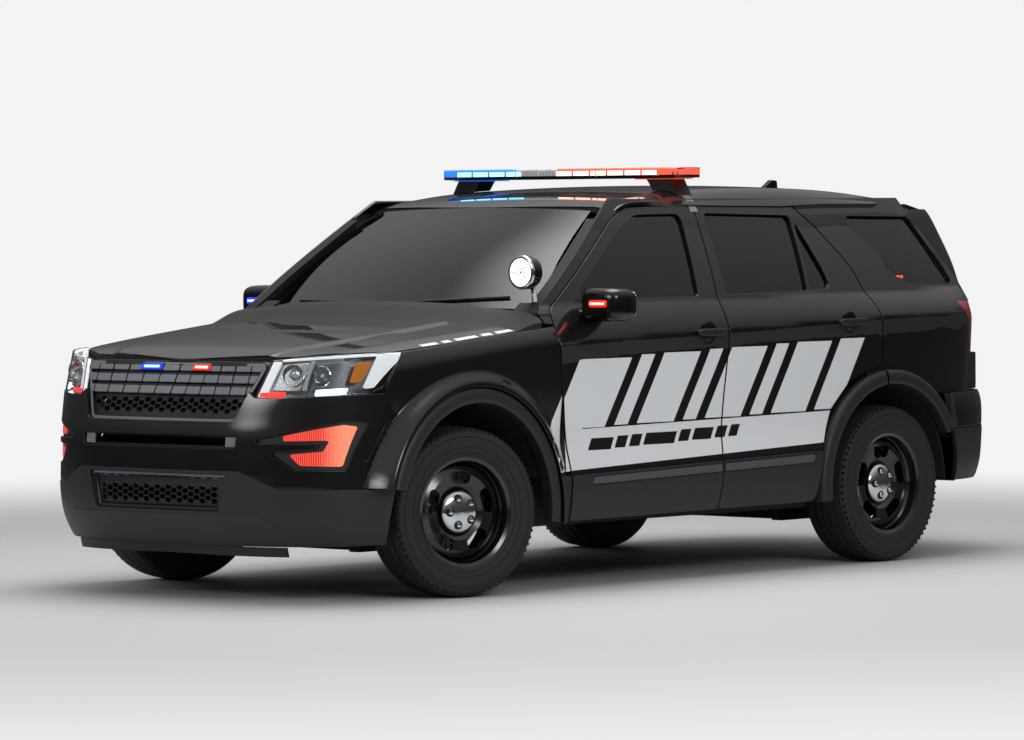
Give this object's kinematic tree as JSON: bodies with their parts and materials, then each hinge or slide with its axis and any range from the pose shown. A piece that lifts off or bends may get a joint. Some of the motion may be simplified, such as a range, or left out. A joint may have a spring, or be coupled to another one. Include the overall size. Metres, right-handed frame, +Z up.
{
  "type": "police sport utility vehicle",
  "caption": "Black five-door police SUV with roof light bar, side spotlight and black steel wheels",
  "frame": {"origin": "on the ground at the middle of the overall length and width", "axes": "+Z up, the front of the vehicle faces -Y, the vehicle's left side is +X"},
  "size_m": [2.287, 5.0366, 1.83],
  "materials": {
    "paint": "gloss",
    "glass": "gloss",
    "cladding": "matte",
    "tyre": "matte",
    "wheel": "satin",
    "chassis": "matte",
    "lamp": "gloss",
    "red_lamp": "gloss",
    "lightbar": "gloss",
    "cabin": "matte",
    "seat": "matte",
    "grille": "satin"
  },
  "bodies": {
    "body": {"antenna": "paint", "arch_trims": "cladding", "body_sides": "paint", "cowl": "cabin", "dashboard": "cabin", "engine_block": "chassis", "exhaust": "chassis", "fixed_glass": "glass", "fog_lamps": "red_lamp", "front_bumper": "paint", "front_fenders": "paint", "front_subframe": "chassis", "front_valance": "cladding", "grilles": "grille", "headlamps": "lamp", "light_bar": "lightbar", "rear_bumper": "paint", "rear_subframe": "chassis", "rear_valance": "cladding", "roof_panel": "paint", "seats": "seat", "spotlight": "lamp", "tail_lamps": "red_lamp", "underbody": "chassis", "wheel_liners": "cladding", "wipers": "cabin"},
    "hood": {"hood": "paint"},
    "liftgate": {"liftgate": "paint", "rear_glass": "glass", "spoiler": "paint"},
    "front_door_left": {"front_door_left": "paint", "front_door_glass_left": "glass", "front_door_trim_left": "cladding"},
    "wheel_front_left": {"wheel_front_left": "wheel", "tyre_front_left": "tyre"},
    "rear_door_left": {"rear_door_left": "paint", "rear_door_glass_left": "glass", "rear_door_trim_left": "cladding"},
    "wheel_rear_left": {"wheel_rear_left": "wheel", "tyre_rear_left": "tyre"},
    "knuckle_front_left": {"knuckle_front_left": "chassis"},
    "front_door_right": {"front_door_right": "paint", "front_door_glass_right": "glass", "front_door_trim_right": "cladding"},
    "wheel_front_right": {"wheel_front_right": "wheel", "tyre_front_right": "tyre"},
    "rear_door_right": {"rear_door_right": "paint", "rear_door_glass_right": "glass", "rear_door_trim_right": "cladding"},
    "wheel_rear_right": {"wheel_rear_right": "wheel", "tyre_rear_right": "tyre"},
    "knuckle_front_right": {"knuckle_front_right": "chassis"}
  },
  "joints": [
    {"name": "front_door_left_hinge", "type": "hinge", "parent": "body", "child": "front_door_left", "pos_m": [0.986, -1.02, 0.7], "axis": [0, 0, -1], "range_deg": [0, 65]},
    {"name": "front_door_right_hinge", "type": "hinge", "parent": "body", "child": "front_door_right", "pos_m": [-0.986, -1.02, 0.7], "axis": [0, 0, 1], "range_deg": [0, 65]},
    {"name": "rear_door_left_hinge", "type": "hinge", "parent": "body", "child": "rear_door_left", "pos_m": [0.978, 0.045, 0.7], "axis": [0, 0, -1], "range_deg": [0, 68]},
    {"name": "rear_door_right_hinge", "type": "hinge", "parent": "body", "child": "rear_door_right", "pos_m": [-0.978, 0.045, 0.7], "axis": [0, 0, 1], "range_deg": [0, 68]},
    {"name": "hood_hinge", "type": "hinge", "parent": "body", "child": "hood", "pos_m": [0, -1, 1.2], "axis": [-1, 0, 0], "range_deg": [0, 48]},
    {"name": "liftgate_hinge", "type": "hinge", "parent": "body", "child": "liftgate", "pos_m": [0, 1.835, 1.655], "axis": [1, 0, 0], "range_deg": [0, 82]},
    {"name": "steering_left", "type": "hinge", "parent": "body", "child": "knuckle_front_left", "pos_m": [0.775, -1.56, 0.363], "axis": [0, 0, 1], "range_deg": [-20, 46]},
    {"name": "steering_right", "type": "hinge", "parent": "body", "child": "knuckle_front_right", "pos_m": [-0.775, -1.56, 0.363], "axis": [0, 0, 1], "range_deg": [-20, 46]},
    {"name": "wheel_spin_front_left", "type": "hinge", "parent": "knuckle_front_left", "child": "wheel_front_left", "pos_m": [0.84905, -1.5771, 0.363], "axis": [0.9744, -0.225, 0], "continuous": true},
    {"name": "wheel_spin_front_right", "type": "hinge", "parent": "knuckle_front_right", "child": "wheel_front_right", "pos_m": [-0.84905, -1.5429, 0.363], "axis": [0.9744, -0.225, 0], "continuous": true},
    {"name": "wheel_spin_rear_left", "type": "hinge", "parent": "body", "child": "wheel_rear_left", "pos_m": [0.851, 1.3, 0.363], "axis": [1, 0, 0], "continuous": true},
    {"name": "wheel_spin_rear_right", "type": "hinge", "parent": "body", "child": "wheel_rear_right", "pos_m": [-0.851, 1.3, 0.363], "axis": [1, 0, 0], "continuous": true}
  ],
  "couplings": [
    {"joint": "steering_right", "follows": "steering_left", "ratio": 1}
  ]
}
